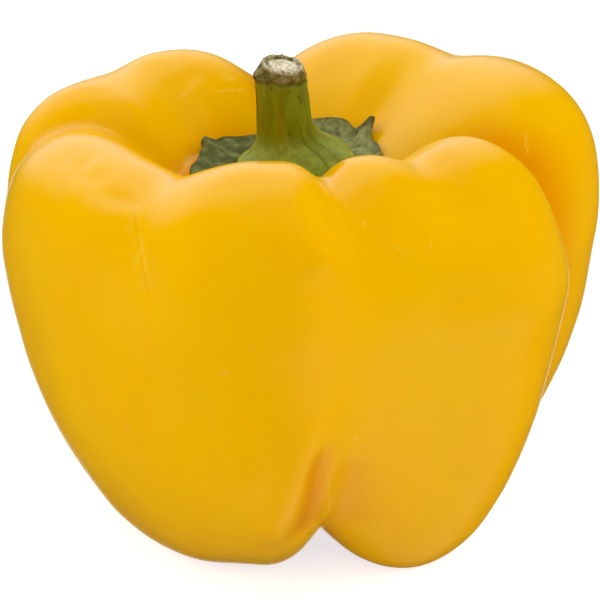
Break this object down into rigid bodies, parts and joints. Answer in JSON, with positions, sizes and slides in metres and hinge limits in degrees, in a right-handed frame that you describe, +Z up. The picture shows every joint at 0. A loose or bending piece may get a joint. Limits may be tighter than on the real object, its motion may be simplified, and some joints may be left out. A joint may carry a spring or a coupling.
{
  "type": "bell pepper",
  "caption": "Whole yellow bell pepper, a blocky lobed fruit standing on its feet, with a green leafy cap and a short cut stalk in its top cup.",
  "frame": {"origin": "middle of the box round the whole object, on the surface that it stands on", "axes": "+Z up through the stalk, -Y towards the front cleft that faces the camera, +X to the right"},
  "size_m": [0.0966, 0.0953, 0.0771],
  "materials": {
    "fruit": "smooth waxy yellow skin, satin gloss",
    "calyx": "matt grey-green leaf",
    "stem": "ribbed olive green stalk, dry pale cut end"
  },
  "bodies": {
    "root": {"fruit": "fruit", "calyx": "calyx", "stem": "stem"}
  },
  "joints": []
}
